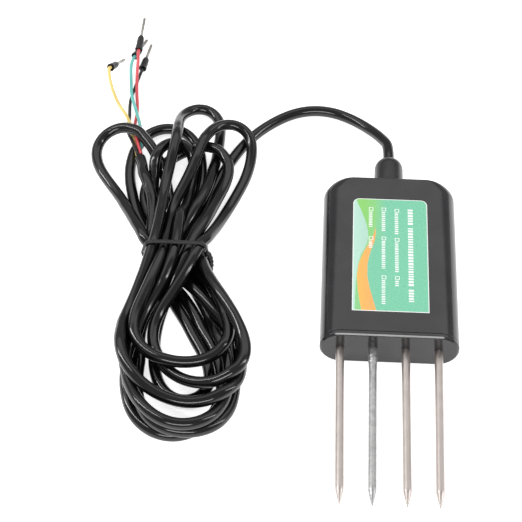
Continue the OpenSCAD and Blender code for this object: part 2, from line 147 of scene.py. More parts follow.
# The cut end of the sheath, and its directions sideways, outwards and up.
SHEATH_END = np.array([-88.5, 70.9, 5.2])
END_SIDE = np.array([0.949, 0.316, 0])
END_OUT = np.array([-0.316, 0.949, 0])
END_UP = np.array([0, 0, 1.0])

COLOURS = ["yellow", "red", "green", "black"]
# For each core: on which side it leaves the sheath, sideways and up, and the points that it passes.
CORE_FROM = [(-1, -1), (1, 1), (1, -1), (-1, 1)]
CORE_PAST = [
    [(-91, 78, 4), (-92, 82, 3.5), (-93, 86.5, 3), (-95.5, 93, 2.5),
     (-98, 97, 2.5), (-100, 100.5, 3.5), (-102.5, 106.5, 6)],
    [(-90, 78, 5.5), (-91, 83, 4), (-92, 89, 1.5), (-92, 98, 0.7),
     (-93, 106.5, 1), (-93.5, 113.5, 3), (-93.5, 119.5, 5.5)],
    [(-88.5, 78, 4.5), (-89, 82.5, 4), (-90, 88, 3), (-92, 95, 2.5),
     (-94.5, 103.5, 2.5), (-95.5, 111, 2.5), (-96, 118, 4)],
    [(-92, 78.5, 5), (-93.5, 82.5, 3.5), (-94.5, 87, 2), (-94.5, 93, 0.7),
     (-95, 102, 0.7), (-94, 109, 0.7), (-93, 114, 1)],
]
# For each ferrule: where the core meets it, and its turn and pitch in degrees.
FERRULE_AT = [(-103, 112.5, 7.5), (-93.5, 123, 7), (-95, 122, 4.5), (-92, 118.5, 1.5)]
FERRULE_TURN = [-17.5, -5, -14, -9]
FERRULE_PITCH = [-29.5, 15, -16, -3]
STRAIGHT = 1.5  # a core runs straight for this length at both of its ends


def ferrule_dir(i):
    t, p = math.radians(FERRULE_TURN[i]), math.radians(FERRULE_PITCH[i])
    return np.array([-math.sin(t) * math.cos(p), math.cos(t) * math.cos(p), math.sin(p)])


def core_route(i):
    side, up = CORE_FROM[i]
    start = SHEATH_END + side * BUNDLE * END_SIDE + up * BUNDLE * END_UP
    end = np.array(FERRULE_AT[i])
    points = [start, start + STRAIGHT * END_OUT, *CORE_PAST[i], end - STRAIGHT * ferrule_dir(i), end]
    return np.array(points, float)


def smooth_path(points, step):
    """A centripetal Catmull-Rom curve through the points, with a vertex every step."""
    p = np.array(points, float)
    p = np.vstack([2 * p[0] - p[1], p, 2 * p[-1] - p[-2]])
    out = []
    for a, b, c, d in zip(p[:-3], p[1:-2], p[2:-1], p[3:]):
        t1 = math.sqrt(np.linalg.norm(b - a)) + 1e-9
        t2 = t1 + math.sqrt(np.linalg.norm(c - b)) + 1e-9
        t3 = t2 + math.sqrt(np.linalg.norm(d - c)) + 1e-9
        for t in np.linspace(t1, t2, 12, endpoint=False):
            u = ((t1 - t) * a + t * b) / t1
            v = ((t2 - t) * b + (t - t1) * c) / (t2 - t1)
            w = ((t3 - t) * c + (t - t2) * d) / (t3 - t2)
            e = ((t2 - t) * u + t * v) / t2
            f = ((t3 - t) * v + (t - t1) * w) / (t3 - t1)
            out.append(((t2 - t) * e + (t - t1) * f) / (t2 - t1))
    out.append(p[-2])
    return even(np.array(out), step)[0]


def even(path, step):
    """The same path with vertices a step apart, and the parameter of each along the old one."""
    along = np.r_[0, np.cumsum(np.linalg.norm(np.diff(path, axis=0), axis=1))]
    at = np.linspace(0, along[-1], int(round(along[-1] / step)) + 1)
    where = np.interp(at, along, np.arange(len(path)))
    return np.stack([np.interp(at, along, path[:, k]) for k in range(3)], 1), where


def planned_route():
    """The cable's whole route before it settles, from the tables."""
    def lifted(table):
        return [(x, y, LOWEST + level * LEVEL) for x, y, level in table]

    points = list(LEAD) + lifted(LEAD_IN)
    for name in ORDER:
        if name in SLOTS:
            x, z = SLOTS[name]
            points.append((x, TIE_Y, z))
        else:
            turn = lifted(TURNS[name.strip("-")])
            points += turn[::-1] if name[0] == "-" else turn
    points += lifted(TAIL) + [tuple(SHEATH_END - END_OUT), tuple(SHEATH_END)]
    return points


def near_pairs(path, reach, skip):
    """Pairs of vertices that are close in space but not along the cable."""
    first, second = [], []
    for a in range(0, len(path), 256):
        gap = ((path[a:a + 256, None] - path[None]) ** 2).sum(2)
        i, j = np.nonzero(gap < reach ** 2)
        keep = (j - i - a) > skip
        first.append(i[keep] + a)
        second.append(j[keep])
    return np.concatenate(first), np.concatenate(second)


def settle(route, cores, rounds, steps=60, step=PLAN_STEP):
    """Lets the cable sink, straighten and rest on itself, pulled lightly towards its planned route."""
    path, param = route.copy(), np.arange(len(route), dtype=float)
    held_near, held_far = 8, 3
    start, stop = route[:held_near].copy(), route[-held_far:].copy()
    touch, core_touch = CABLE_D + 0.04, CABLE_R + CORE_D / 2 + 0.07
    cores_x, cores_y = -90, 83
    sink, last_sink, last_rounds = 0.06, 0.018, 6
    most_pull, least_share = 0.14, 0.06
    stiffness, even_out, push_on, push_off_core = 0.045, 0.25, 1.5, 0.6
    for chunk in range(rounds):
        if chunk < 3:
            path[held_near:-held_far] = (
                0.5 * path + 0.25 * (np.roll(path, 1, 0) + np.roll(path, -1, 0))
            )[held_near:-held_far]
        path, where = even(path, step)
        param = np.interp(where, np.arange(len(param)), param)
        n = len(path)
        length = np.linalg.norm(np.diff(path, axis=0), axis=1).mean()
        plan = np.stack([np.interp(param, np.arange(len(route)), route[:, k]) for k in range(2)], 1)
        free = np.ones((n, 1))
        free[:held_near] = 0
        free[-held_far:] = 0
        away = np.clip((np.abs(plan[:, 1:2] - TIE_Y - 1) - 6) / 20, 0, 1)
        pull = most_pull * free * (least_share + (1 - least_share) * away ** 2 * (3 - 2 * away))
        weight = sink if chunk < rounds - last_rounds else last_sink
        for k in range(steps):
            if k % 12 == 0:
                i, j = near_pairs(path, touch + 1.6, int(2.2 * CABLE_D / step))
            path[:, 2] -= weight * free[:, 0]
            # a strand above the plan's height shifts towards the viewer, so that it shows in its place
            sight = path - EYE
            lean = (path[:, 2:3] - PLAN_HEIGHT) * (-sight[:, :2] / sight[:, 2:3])
            path[:, :2] += pull * (plan - lean - path[:, :2])
            for stride in (4, 2, 1):
                bend = np.zeros_like(path)
                bend[stride:-stride] = path[:-2 * stride] - 2 * path[stride:-stride] + path[2 * stride:]
                change = np.zeros_like(path)
                change[stride:-stride] = bend[:-2 * stride] - 2 * bend[stride:-stride] + bend[2 * stride:]
                path -= stiffness * change * free
            for odd in (0, 1):
                m = (n - odd) // 2
                a, b = path[odd:odd + 2 * m:2], path[odd + 1:odd + 2 * m:2]
                m = min(len(a), len(b))
                a, b = a[:m], b[:m]
                gap = b - a
                size = np.linalg.norm(gap, axis=1, keepdims=True) + 1e-9
                move = even_out * (size - length) / size * gap
                a += move * free[odd:odd + 2 * m:2][:m]
                b -= move * free[odd + 1:odd + 2 * m:2][:m]
            for _ in range(2):
                gap = path[j] - path[i]
                size = np.sqrt((gap * gap).sum(1)) + 1e-9
                hit = size < touch
                a, b = i[hit], j[hit]
                push = (0.5 * (touch - size[hit]) / size[hit])[:, None] * gap[hit]
                count = np.maximum(1, np.bincount(a, minlength=n) + np.bincount(b, minlength=n))
                for axis in range(3):
                    force = np.bincount(b, push[:, axis], n) - np.bincount(a, push[:, axis], n)
                    path[:, axis] += free[:, 0] * force / count * push_on
                tied = np.abs(path[:, 1] - TIE_Y) < TIE_REACH
                path[tied, 0] = np.clip(path[tied, 0], *TIE_SIDES)
                path[tied, 2] = np.minimum(path[tied, 2], TIE_TOP)
                path[:, 2] = np.maximum(path[:, 2], CABLE_R)
                beside = (np.abs(path[:, 0] - cores_x) < 8) & (np.abs(path[:, 1] - cores_y) < 13)
                by = np.nonzero(beside & (free[:, 0] > 0))[0]
                if len(by):
                    gap = path[by][:, None] - cores[None]
                    size = np.sqrt((gap * gap).sum(2)) + 1e-9
                    nearest = size.argmin(1)
                    size, gap = size[range(len(by)), nearest], gap[range(len(by)), nearest]
                    hit = size < core_touch
                    share = ((core_touch - size[hit]) / size[hit])[:, None]
                    path[by[hit]] += push_off_core * share * gap[hit]
            path[:held_near], path[-held_far:] = start, stop
    return path


def tube_curve(name, path, radius, material, resolution):
    """A round cable along a path, as a curve of one open spline."""
    data = bpy.data.curves.new(name, "CURVE")
    data.dimensions = "3D"
    data.bevel_depth = radius * MM
    data.bevel_resolution = resolution
    data.use_fill_caps = True
    spline = data.splines.new("POLY")
    spline.points.add(len(path) - 1)
    flat = np.ones((len(path), 4))
    flat[:, :3] = np.asarray(path) * MM
    spline.points.foreach_set("co", flat.ravel())
    spline.use_smooth = True
    data.materials.append(material)
    obj = bpy.data.objects.new(name, data)
    bpy.context.scene.collection.objects.link(obj)
    return obj


# ---------------------------------------------------------------- materials


def linear(r, g, b):
    """A colour given as 0 to 255 in sRGB, in linear light."""
    def one(v):
        v /= 255
        return v / 12.92 if v <= 0.04045 else ((v + 0.055) / 1.055) ** 2.4
    return (one(r), one(g), one(b), 1)


class Shader:
    """A principled material whose nodes are added by short calls."""

    def __init__(self, name, rgb, rough, metal=0.0):
        self.material = bpy.data.materials.new(name)
        self.material.use_nodes = True
        self.tree = self.material.node_tree
        self.bsdf = self.tree.nodes["Principled BSDF"]
        self.rgb = linear(*rgb)
        self.bsdf.inputs["Base Color"].default_value = self.rgb
        self.bsdf.inputs["Roughness"].default_value = rough
        self.bsdf.inputs["Metallic"].default_value = metal
        self.material.diffuse_color = self.rgb
        self.where = self.tree.nodes.new("ShaderNodeTexCoord").outputs["Object"]

    def link(self, a, b):
        self.tree.links.new(a, b)

    def node(self, kind, **values):
        node = self.tree.nodes.new(kind)
        for key, value in values.items():
            setattr(node, key, value)
        return node

    def stretched(self, scale):
        mapping = self.node("ShaderNodeMapping")
        mapping.inputs["Scale"].default_value = scale
        self.link(self.where, mapping.inputs["Vector"])
        return mapping.outputs["Vector"]

    def noise(self, size, detail, stretch=(1, 1, 1)):
        """Noise whose features are about size millimetres across."""
        noise = self.node("ShaderNodeTexNoise")
        noise.inputs["Scale"].default_value = 1 / (size * MM)
        noise.inputs["Detail"].default_value = detail
        noise.inputs["Roughness"].default_value = 0.55
        self.link(self.stretched(stretch), noise.inputs["Vector"])
        return noise.outputs["Fac"]

    def spread(self, value, low, high, from_low=0.3, from_high=0.7):
        node = self.node("ShaderNodeMapRange")
        for key, v in (("From Min", from_low), ("From Max", from_high), ("To Min", low), ("To Max", high)):
            node.inputs[key].default_value = v
        self.link(value, node.inputs["Value"])
        return node.outputs["Result"]

    def rough(self, value, low, high):
        self.link(self.spread(value, low, high), self.bsdf.inputs["Roughness"])

    def mix(self, factor, a, b):
        node = self.node("ShaderNodeMix", data_type="RGBA")
        self.link(factor, node.inputs["Factor"])
        for socket, value in ((node.inputs[6], a), (node.inputs[7], b)):
            if isinstance(value, bpy.types.NodeSocket):
                self.link(value, socket)
            else:
                socket.default_value = value
        return node.outputs[2]

    def tint(self, value, other):
        """Varies the base colour towards another one."""
        factor = self.spread(value, 0, 1, 0.35, 0.65)
        self.link(self.mix(factor, self.rgb, linear(*other)), self.bsdf.inputs["Base Color"])

    def bump(self, value, height, strength=1.0):
        """A bump of the given height in millimetres."""
        node = self.node("ShaderNodeBump")
        node.inputs["Distance"].default_value = height * MM
        node.inputs["Strength"].default_value = strength
        self.link(value, node.inputs["Height"])
        previous = self.bsdf.inputs["Normal"].links
        if previous:
            self.link(previous[0].from_socket, node.inputs["Normal"])
        self.link(node.outputs["Normal"], self.bsdf.inputs["Normal"])


def moulded(name, rgb, low, high, grain=0.35, height=0.006, other=None):
    s = Shader(name, rgb, low)
    s.rough(s.noise(6, 4), low, high)
    s.tint(s.noise(9, 3), other or tuple(min(255, c + 8) for c in rgb))
    s.bump(s.noise(grain, 2), height)
    s.bump(s.noise(11, 2), 0.04, 0.5)
    return s.material


def metal(name, rgb, low, high, other, stretch=(1, 1, 1), grain=0.3, height=0.004):
    s = Shader(name, rgb, low, 1.0)
    s.rough(s.noise(grain * 3, 4, stretch), low, high)
    s.tint(s.noise(4, 4), other)
    s.bump(s.noise(grain, 3, stretch), height)
    return s.material


def make_materials():
    m = {}
    m["housing_plastic"] = moulded("housing_plastic", (30, 30, 32), 0.15, 0.2, 1.2, 0.001)
    m["cap_plastic"] = moulded("cap_plastic", (32, 31, 33), 0.08, 0.13, 1.2, 0.0006)
    m["gland_nylon"] = moulded("gland_nylon", (24, 24, 26), 0.26, 0.34, 0.5, 0.003)
    m["resin"] = moulded("resin", (20, 20, 22), 0.3, 0.45)
    m["cable_sheath"] = moulded("cable_sheath", (8, 8, 9), 0.13, 0.18, 0.9, 0.0006)
    m["tie_plastic"] = moulded("tie_plastic", (22, 22, 23), 0.34, 0.5, 0.2, 0.008)
    m["ferrule_plastic"] = moulded("ferrule_plastic", (26, 26, 27), 0.34, 0.48, 0.2, 0.006)
    m["board_laminate"] = moulded("board_laminate", (12, 92, 52), 0.3, 0.42, 0.6, 0.01, (20, 110, 64))
    m["chip_package"] = moulded("chip_package", (34, 34, 36), 0.5, 0.62, 0.15, 0.008)
    m["ferrite"] = moulded("ferrite", (52, 52, 54), 0.55, 0.7, 0.12, 0.012)
    m["ceramic"] = moulded("ceramic", (176, 148, 112), 0.45, 0.6, 0.1, 0.006)
    m["can_metal"] = metal("can_metal", (196, 196, 198), 0.22, 0.34, (176, 177, 180))
    m["solder"] = metal("solder", (198, 198, 202), 0.2, 0.36, (168, 168, 172), grain=0.4, height=0.02)
    m["probe_steel"] = metal(
        "probe_steel", (198, 189, 184), 0.38, 0.44, (190, 181, 176), (0.5, 6, 0.5), 0.5, 0.0006
    )
    s = Shader("acidity_alloy", (186, 186, 186), 0.4, 0.85)
    s.rough(s.noise(0.9, 5), 0.32, 0.44)
    s.tint(s.noise(1.6, 6), (162, 163, 163))
    s.bump(s.noise(0.45, 5), 0.012)
    m["acidity_alloy"] = s.material
    m["tinned_copper"] = metal("tinned_copper", (196, 194, 190), 0.24, 0.4, (150, 146, 140), height=0.02)
    m["core_yellow"] = moulded("core_yellow", (222, 196, 112), 0.3, 0.4, 0.3, 0.002, (240, 214, 134))
    m["core_red"] = moulded("core_red", (196, 66, 74), 0.3, 0.4, 0.3, 0.002, (216, 90, 96))
    m["core_green"] = moulded("core_green", (92, 180, 172), 0.3, 0.4, 0.3, 0.002, (112, 194, 186))
    m["core_black"] = moulded("core_black", (26, 26, 28), 0.3, 0.4, 0.2, 0.004)
    m["label_vinyl"] = moulded("label_vinyl", (236, 240, 236), 0.3, 0.4, 0.4, 0.003, (244, 246, 244))
    return m


MATERIAL = make_materials()

# ---------------------------------------------------------------- meshes


def add_mesh(name, vertices, faces, material, smooth_angle=35, slots=None, face_slots=None):
    data = bpy.data.meshes.new(name)
    data.from_pydata([tuple(Vector(v) * MM) for v in vertices], [], faces)
    data.validate()
    for one in slots or [material]:
        data.materials.append(one)
    if face_slots:
        data.polygons.foreach_set("material_index", face_slots)
    obj = bpy.data.objects.new(name, data)
    bpy.context.scene.collection.objects.link(obj)
    if smooth_angle:
        smooth(obj, smooth_angle)
    return obj


def smooth(obj, angle):
    data = obj.data
    data.polygons.foreach_set("use_smooth", [True] * len(data.polygons))
    data.set_sharp_from_angle(angle=math.radians(angle))


def loft(rings, closed_loop=False):
    """Faces that join rings of equal numbers of points, with flat ends unless the rings form a loop."""
    n = len(rings[0])
    vertices = [p for ring in rings for p in ring]
    faces = []
    count = len(rings)
    for i in range(count if closed_loop else count - 1):
        j = (i + 1) % count
        for k in range(n):
            m = (k + 1) % n
            faces.append((i * n + k, i * n + m, j * n + m, j * n + k))
    if not closed_loop:
        faces.append(tuple(range(n - 1, -1, -1)))
        faces.append(tuple((count - 1) * n + k for k in range(n)))
    return vertices, faces


def lathe(profile, axis_at, direction, sides=48, ring=False, shape=None):
    """A profile of (distance along the axis, radius) turned round it. With ring it closes on itself."""
    d = np.array(direction, float) / np.linalg.norm(direction)
    side = np.cross(d, [0, 0, 1.0])
    side /= np.linalg.norm(side)
    up = np.cross(side, d)
    rings = []
    for along, radius in profile:
        row = []
        for k in range(sides):
            a = 2 * math.pi * k / sides
            r = radius if shape is None else shape(along, radius, a)
            row.append(np.array(axis_at) + along * d + r * (math.cos(a) * side + math.sin(a) * up))
        rings.append(row)
    return loft(rings, closed_loop=ring)


def arc(cx, cy, r, start, stop, steps):
    """Points of (x, y) on an arc, in degrees."""
    return [
        (cx + r * math.cos(math.radians(a)), cy + r * math.sin(math.radians(a)))
        for a in np.linspace(start, stop, steps)
    ]


def cut(obj, cutter):
    mod = obj.modifiers.new("cut", "BOOLEAN")
    mod.operation = "DIFFERENCE"
    mod.solver = "EXACT"
    mod.object = cutter
    apply_modifiers(obj)
    bpy.data.objects.remove(cutter)


def apply_modifiers(obj):
    graph = bpy.context.evaluated_depsgraph_get()
    graph.update()
    data = bpy.data.meshes.new_from_object(obj.evaluated_get(graph))
    obj.modifiers.clear()
    obj.data = data


def even_normals(obj, angle):
    smooth(obj, angle)
    mod = obj.modifiers.new("normals", "WEIGHTED_NORMAL")
    mod.keep_sharp = True
    mod.weight = 90
    apply_modifiers(obj)


def ride(obj, slot, *replaced):
    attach(obj, "root")
    if replaced:
        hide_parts(*replaced)
    return obj


# ---------------------------------------------------------------- cable, cores and ferrules


CORE_PATHS = [smooth_path(core_route(i), CORE_STEP) for i in range(len(COLOURS))]
NEAR_HANK = 94  # up to this y, the cores lie near enough to the hank for the cable to touch them
core_points = np.vstack([p[p[:, 1] < NEAR_HANK] for p in CORE_PATHS])
planned = smooth_path(planned_route(), PLAN_STEP)
settled = settle(planned, core_points, rounds=25)
cable_path = smooth_path(settled[::2], CABLE_STEP)
cable_path[:, 2] = np.maximum(cable_path[:, 2], CABLE_R)
cable = ride(
    tube_curve("cable", cable_path, CABLE_R, MATERIAL["cable_sheath"], 7),
    "cable_sheath", "cable_lead", "cable_hank",
)


def strands_at_tie(path):
    """Where the cable goes through the plane of the tie: x, z of each strand."""
    y = path[:, 1] - TIE_Y
    hits = np.nonzero((y[:-1] * y[1:] <= 0) & (path[:-1, 0] < -50))[0]
    share = (y[hits] / (y[hits] - y[hits + 1]))[:, None]
    points = path[hits] + share * (path[hits + 1] - path[hits])
    return points[:, [0, 2]]


def tie_loop(path, thickness, count=160):
    """The tight outline round all strands, with the tie's middle half its thickness outside them."""
    strands = strands_at_tie(path)
    loop = []
    for k in range(count):
        a = 2 * math.pi * k / count
        out = np.array([math.cos(a), math.sin(a)])
        far = strands[(strands @ out).argmax()]
        x, z = far + (CABLE_R + thickness / 2) * out
        loop.append((x, TIE_Y, max(z, thickness / 2 + 0.05)))
    loop.append(loop[0])
    even_loop = even(np.array(loop), 0.35)[0][:-1]
    for _ in range(6):
        even_loop = 0.5 * even_loop + 0.25 * (np.roll(even_loop, 1, 0) + np.roll(even_loop, -1, 0))
    return even_loop


def sweep(path, profile, closed):
    """A profile of (sideways, outwards) points swept along a path."""
    if closed:
        heading = np.roll(path, -1, 0) - np.roll(path, 1, 0)
    else:
        heading = np.gradient(path, axis=0)
    heading /= np.linalg.norm(heading, axis=1, keepdims=True)
    side = np.array([0, 1.0, 0]) - heading * heading[:, 1:2]
    side /= np.linalg.norm(side, axis=1, keepdims=True)
    out = np.cross(side, heading)
    rings = [[p + u * s + v * o for u, v in profile] for p, s, o in zip(path, side, out)]
    return loft(rings, closed_loop=closed)


def add_tie():
    """A twist tie: a wire core under a flat plastic ribbon, whose two ends are wound together."""
    thick = 0.9
    loop = tie_loop(cable_path, thick)
    ribbon = [(-0.75, -0.16), (-0.75, 0.12), (-0.42, 0.18), (-0.28, 0.42), (0, 0.5), (0.28, 0.42),
              (0.42, 0.18), (0.75, 0.12), (0.75, -0.16), (0.42, -0.2), (0, -0.3), (-0.42, -0.2)]
    vertices, faces = sweep(loop, ribbon, True)
    right = loop[loop[:, 0].argmax()]
    knot = np.array([right[0] - 0.4, TIE_Y - 0.3, 8.6])
    end = np.array([right[0] + 0.7, TIE_Y - 3.0, 2.6])
    bow = np.array([right[0] + 1.5, TIE_Y - 1.0, 6.0])
    t = np.linspace(0, 1, 60)[:, None]
    middle = (1 - t) ** 2 * knot + 2 * t * (1 - t) * bow + t * t * end
    heading = np.gradient(middle, axis=0)
    heading /= np.linalg.norm(heading, axis=1, keepdims=True)
    across = np.cross(heading, [0, 1.0, 0])
    across /= np.linalg.norm(across, axis=1, keepdims=True)
    other = np.cross(heading, across)
    turn = 2 * math.pi * 2.6 * t
    strand = [(0.46 * math.cos(a), 0.62 * math.sin(a)) for a in np.linspace(0, 2 * math.pi, 9)[:-1]]
    for phase in (0, math.pi):
        path = middle + 0.5 * (np.cos(turn + phase) * across + np.sin(turn + phase) * other)
        more, its_faces = sweep(path, strand, False)
        faces += [tuple(len(vertices) + k for k in face) for face in its_faces]
        vertices += more
    obj = add_mesh("twist_tie", vertices, faces, MATERIAL["tie_plastic"], 50)
    return ride(obj, "tie_plastic", "hank_tie")


tie = add_tie()


def crimp(along, radius, angle):
    """A pin pressed into a slightly square, wavy section."""
    pitch = 1.15
    wave = 0.5 + 0.5 * math.cos(2 * math.pi * along / pitch)
    square = 1 - 0.1 * (0.5 + 0.5 * math.cos(4 * angle))
    return radius * (1 - 0.13 * wave * max(0, math.sin(angle) ** 2 - 0.3)) * square


def add_ferrule(i):
    at, d, colour = FERRULE_AT[i], ferrule_dir(i), COLOURS[i]
    collar = [(1.9, 0.66), (0.5, 0.72), (0.05, 1.3), (0.0, 1.42), (0.12, 1.5), (0.5, 1.45), (0.95, 1.36),
              (1.4, 1.33), (3.4, 1.3), (4.2, 1.27)]
    collar += [(4.2 + 1.8 * math.sin(a), 0.62 + 0.65 * math.cos(a)) for a in np.linspace(0.2, 1.5, 7)]
    collar += [(6.0, 0.6), (5.2, 0.58)]
    shell = add_mesh(
        f"collar_{colour}", *lathe(collar, at, d, 32, ring=True), MATERIAL["ferrule_plastic"], 60
    )
    ride(shell, "ferrule_plastic", f"ferrule_collar_{colour}")
    pin = [(5.2, 0.58)] + [(a, 0.6) for a in np.arange(5.6, 13.7, 0.16)] + [(13.85, 0.56), (14.0, 0.46)]
    rod = add_mesh(
        f"pin_{colour}", *lathe(pin, at, d, 24, shape=crimp), MATERIAL["tinned_copper"], 50
    )
    ride(rod, "tinned_copper", f"ferrule_pin_{colour}")
    return shell, rod


for i, colour in enumerate(COLOURS):
    core = ride(
        tube_curve(f"core_{colour}", CORE_PATHS[i], CORE_D / 2, MATERIAL[f"core_{colour}"], 4),
        f"core_{colour}", f"wire_{colour}",
    )
    list(add_ferrule(i))

# ---------------------------------------------------------------- housing, cap and gland


low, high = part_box("housing_shell")
Y_SHELL, Y_END = low[1] / MM, high[1] / MM
Y_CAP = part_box("end_cap")[0][1] / MM
HOUSING_W, HOUSING_T = (high[0] - low[0]) / MM, (high[2] - low[2]) / MM
Z_MID = HOUSING_T / 2
SIDE_R, CORNER_R, EDGE_R, WALL = 7.0, 5.5, 1.0, 1.8


def section(y, width, thick, radius, steps=12):
    """A ring of points round a rounded rectangle that stands across the sensor."""
    points = []
    for cx, cz, start in ((1, 1, 0), (-1, 1, 90), (-1, -1, 180), (1, -1, 270)):
        x, z = cx * (width / 2 - radius), Z_MID + cz * (thick / 2 - radius)
        points += arc(x, z, radius, start, start + 90, steps)
    return [(x, y, z) for x, z in points]


def box_rings(inset, y0, y1, first_insets=()):
    """Rings of the housing's form from y0 to its round far end at y1."""
    w, t = HOUSING_W - 2 * inset, HOUSING_T - 2 * inset
    side, corner = SIDE_R - inset, CORNER_R - inset
    rings = [section(y, w - 2 * d, t - 2 * d, side - d) for y, d in first_insets]
    ys = list(np.linspace(y0, y1 - corner, 5))
    ys += [y1 - corner + corner * math.sin(a) for a in np.linspace(0, math.pi / 2, 15)[1:]]
    ys += [y1 - EDGE_R + EDGE_R * math.sin(a) for a in np.linspace(0, math.pi / 2, 10)[1:-1]]
    for y in sorted(set(np.round(ys, 4))):
        in_plan = max(0, y - (y1 - corner))
        in_side = max(0, y - (y1 - EDGE_R))
        width = w - 2 * (corner - math.sqrt(max(0, corner ** 2 - in_plan ** 2)))
        thick = t - 2 * (EDGE_R - math.sqrt(max(0, EDGE_R ** 2 - in_side ** 2)))
        rings.append(section(y, width, thick, min(side, thick / 2 - 0.45)))
    return rings


def turned(vertices, faces):
    """The same faces with their fronts on the other side."""
    return vertices, [face[::-1] for face in faces]


def rounded_far(width, y0, y1, r):
    """An outline with square near corners and round far ones."""
    w = width / 2
    return [(-w, y0), (w, y0)] + arc(w - r, y1 - r, r, 0, 90, 9) + arc(-w + r, y1 - r, r, 90, 180, 9)


def prism(outline, z0, z1):
    rings = [[(x, y, z) for x, y in outline] for z in (z0, z1)]
    return loft(rings)


LABEL = [v / MM for v in (*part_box("label_sticker")[0], *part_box("label_sticker")[1])]
LABEL_W = LABEL[3] - LABEL[0]
LABEL_Y, LABEL_R = (LABEL[1] + LABEL[4]) / 2, 2.2


def add_housing():
    rings = box_rings(0, Y_SHELL + 0.18, Y_END, [(Y_SHELL, 0.16), (Y_SHELL + 0.06, 0.06)])
    obj = add_mesh("housing", *turned(*loft(rings)), MATERIAL["housing_plastic"], 0)
    cavity = add_mesh("cavity", *turned(*loft(box_rings(WALL, Y_SHELL - 1, Y_END - 2.2))), None, 0)
    cut(obj, cavity)
    gap = 0.15
    outline = rounded_far(LABEL_W + 2 * gap, LABEL[1] - gap, LABEL[4] + gap, LABEL_R + gap)
    pocket = prism(outline, HOUSING_T - 0.3, HOUSING_T + 1)
    cut(obj, add_mesh("pocket", *pocket, None, 0))
    hole = lathe([(-4, 3.42), (1, 3.42)], (0, Y_END, Z_MID), (0, 1, 0), 48)
    cut(obj, add_mesh("hole", *hole, None, 0))
    even_normals(obj, 32)
    return ride(obj, "housing_plastic", "housing_shell")


PROBE_X = [-15.9, -5.3, 5.3, 15.9]
PROBE_LEAN = [0.7, 0, 0, -0.7]
PROBE_L, PROBE_R, ROOT_R, STEM_R, TIP_L = 58.0, 1.4, 1.55, 1.1, 5.5
PROBE_INSIDE = 10
ACIDITY = 1  # which of the probes measures acidity


def probe_dir(i):
    a = math.radians(PROBE_LEAN[i])
    return (math.sin(a), -math.cos(a), 0)


def add_cap():
    profile = [(Y_CAP, 0.72), (Y_CAP + 0.04, 0.6), (Y_CAP + 0.6, 0.05), (Y_CAP + 0.72, 0),
               (Y_SHELL - 0.2, 0), (Y_SHELL - 0.07, 0.06), (Y_SHELL, 0.16),
               (Y_SHELL, 1.85), (Y_SHELL + 1.5, 1.85)]
    rings = [section(y, HOUSING_W - 2 * d, HOUSING_T - 2 * d, SIDE_R - d) for y, d in profile]
    obj = add_mesh("cap", *turned(*loft(rings)), MATERIAL["cap_plastic"], 0)
    for i, x in enumerate(PROBE_X):
        bore, mouth = (ROOT_R + 0.02, 2.0) if i == ACIDITY else (STEM_R + 0.02, 1.85)
        profile = [(-PROBE_INSIDE, bore), (-0.4, bore), (-0.4, mouth), (1, mouth)]
        tool = lathe(profile, (x, Y_CAP, Z_MID), probe_dir(i), 40)
        cut(obj, add_mesh(f"bore_{i}", *tool, None, 0))
    even_normals(obj, 32)
    return ride(obj, "cap_plastic", "end_cap")


def add_gland():
    body, dome, mouth = 4.95, 4.2, Y_EXIT - Y_END
    profile = [(mouth - 0.8, 1.96), (-3.8, 1.96), (-3.8, 4.6), (-2.2, 4.6), (-2.2, 3.4), (0, 3.4), (0, 4.98),
               (0.1, 5.07), (0.25, 5.1), (0.85, 5.1), (1.0, 5.06), (1.12, 4.94), (1.16, 4.72), (1.42, 4.7),
               (1.5, 4.86), (1.62, 4.93), (1.8, 4.97), (4, 4.97), (7, body)]
    for a in np.linspace(0, 1.14, 14):
        profile.append((mouth - dome + dome * math.sin(a), 1.2 + (body - 1.2) * math.cos(a)))
    profile += [(mouth - 0.22, 2.4), (mouth - 0.28, 2.2), (mouth - 0.4, 2.02)]
    mesh = lathe(profile, (0, Y_END, Z_MID), (0, 1, 0), 64, ring=True)
    obj = add_mesh("gland", *mesh, MATERIAL["gland_nylon"], 40)
    return ride(obj, "gland_nylon", "cable_gland")


# ---------------------------------------------------------------- probes


def steel_profile():
    root = [(-PROBE_INSIDE, STEM_R), (0, STEM_R), (0, PROBE_R - 0.08), (0.03, PROBE_R - 0.03)]
    shank = [(a, PROBE_R) for a in np.linspace(0.12, PROBE_L - TIP_L - 0.25, 24)]
    taper = [
        (PROBE_L - TIP_L + TIP_L * s, PROBE_R + (0.15 - PROBE_R) * s ** 1.04)
        for s in np.linspace(0, 1, 16)
    ]
    return root + shank + taper + [(PROBE_L + 0.06, 0.08), (PROBE_L + 0.08, 0.01)]


def acid_profile():
    keys = [(-3.3, 1.55), (2.6, 1.56), (4.2, 1.5), (6, 1.36), (8, 1.29), (10.5, 1.31), (13, 1.35),
            (PROBE_L - TIP_L, 1.35), (PROBE_L - 2.6, 0.82), (PROBE_L - 0.4, 0.27), (PROBE_L, 0.1)]
    along = np.concatenate([np.arange(-3.3, 16, 0.22), np.arange(16, PROBE_L - TIP_L, 1.2),
                            np.arange(PROBE_L - TIP_L, PROBE_L, 0.25), [PROBE_L]])
    radius = np.interp(along, [k[0] for k in keys], [k[1] for k in keys])
    inside = [(-PROBE_INSIDE, STEM_R), (-3.3, STEM_R)]
    return inside + list(zip(along, radius)) + [(PROBE_L + 0.06, 0.01)]


